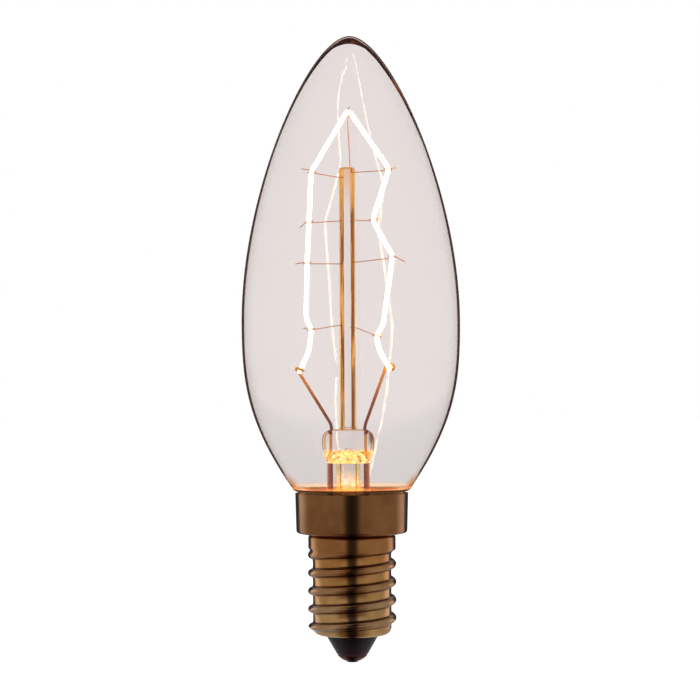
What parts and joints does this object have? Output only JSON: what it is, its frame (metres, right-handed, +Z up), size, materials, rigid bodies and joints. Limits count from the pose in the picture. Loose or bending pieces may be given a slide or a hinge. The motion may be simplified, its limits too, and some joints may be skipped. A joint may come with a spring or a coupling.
{
  "type": "filament lamp",
  "caption": "Clear candle-shaped filament lamp with a zigzag wound filament on a glass rod, wire supports, a flared glass stem and a small brass screw cap with a black glass insulator.",
  "frame": {"origin": "foot of the centre contact, on the lamp's axis", "axes": "+Z up the lamp's axis from the contact to the glass tip; the leads lie along X, and the shell's solder spot is at +Y, the back"},
  "size_m": [0.0342, 0.0342, 0.098],
  "materials": {
    "envelope_glass": "clear, blown",
    "stem_glass": "clear, flame worked",
    "rod_glass": "clear, lit amber",
    "filament": "glowing",
    "support_wire": "drawn",
    "lead_wire": "drawn, heat tinted",
    "copper_wire": "drawn copper",
    "fuse_wire": "drawn",
    "cement": "baked",
    "cap_brass": "pressed, dulled",
    "black_glass": "pressed, opaque",
    "solder": "melted, dulled"
  },
  "bodies": {
    "root": {"glass_envelope": "envelope_glass", "stem_flare": "stem_glass", "stem_press": "stem_glass", "exhaust_tube": "stem_glass", "arbor_rod": "rod_glass", "support_top": "support_wire", "support_left_1": "support_wire", "support_left_2": "support_wire", "support_left_3": "support_wire", "support_left_4": "support_wire", "support_right_1": "support_wire", "support_right_2": "support_wire", "support_right_3": "support_wire", "support_right_4": "support_wire", "filament": "filament", "inner_lead_left": "lead_wire", "inner_lead_right": "lead_wire", "seal_wire_left": "copper_wire", "seal_wire_right": "copper_wire", "outer_lead_upper": "copper_wire", "fuse_link": "fuse_wire", "outer_lead_contact": "copper_wire", "outer_lead_shell": "copper_wire", "basing_cement": "cement", "cap_shell": "cap_brass", "insulator": "black_glass", "contact_eyelet": "cap_brass", "contact_solder": "solder", "side_solder": "solder"}
  },
  "joints": []
}
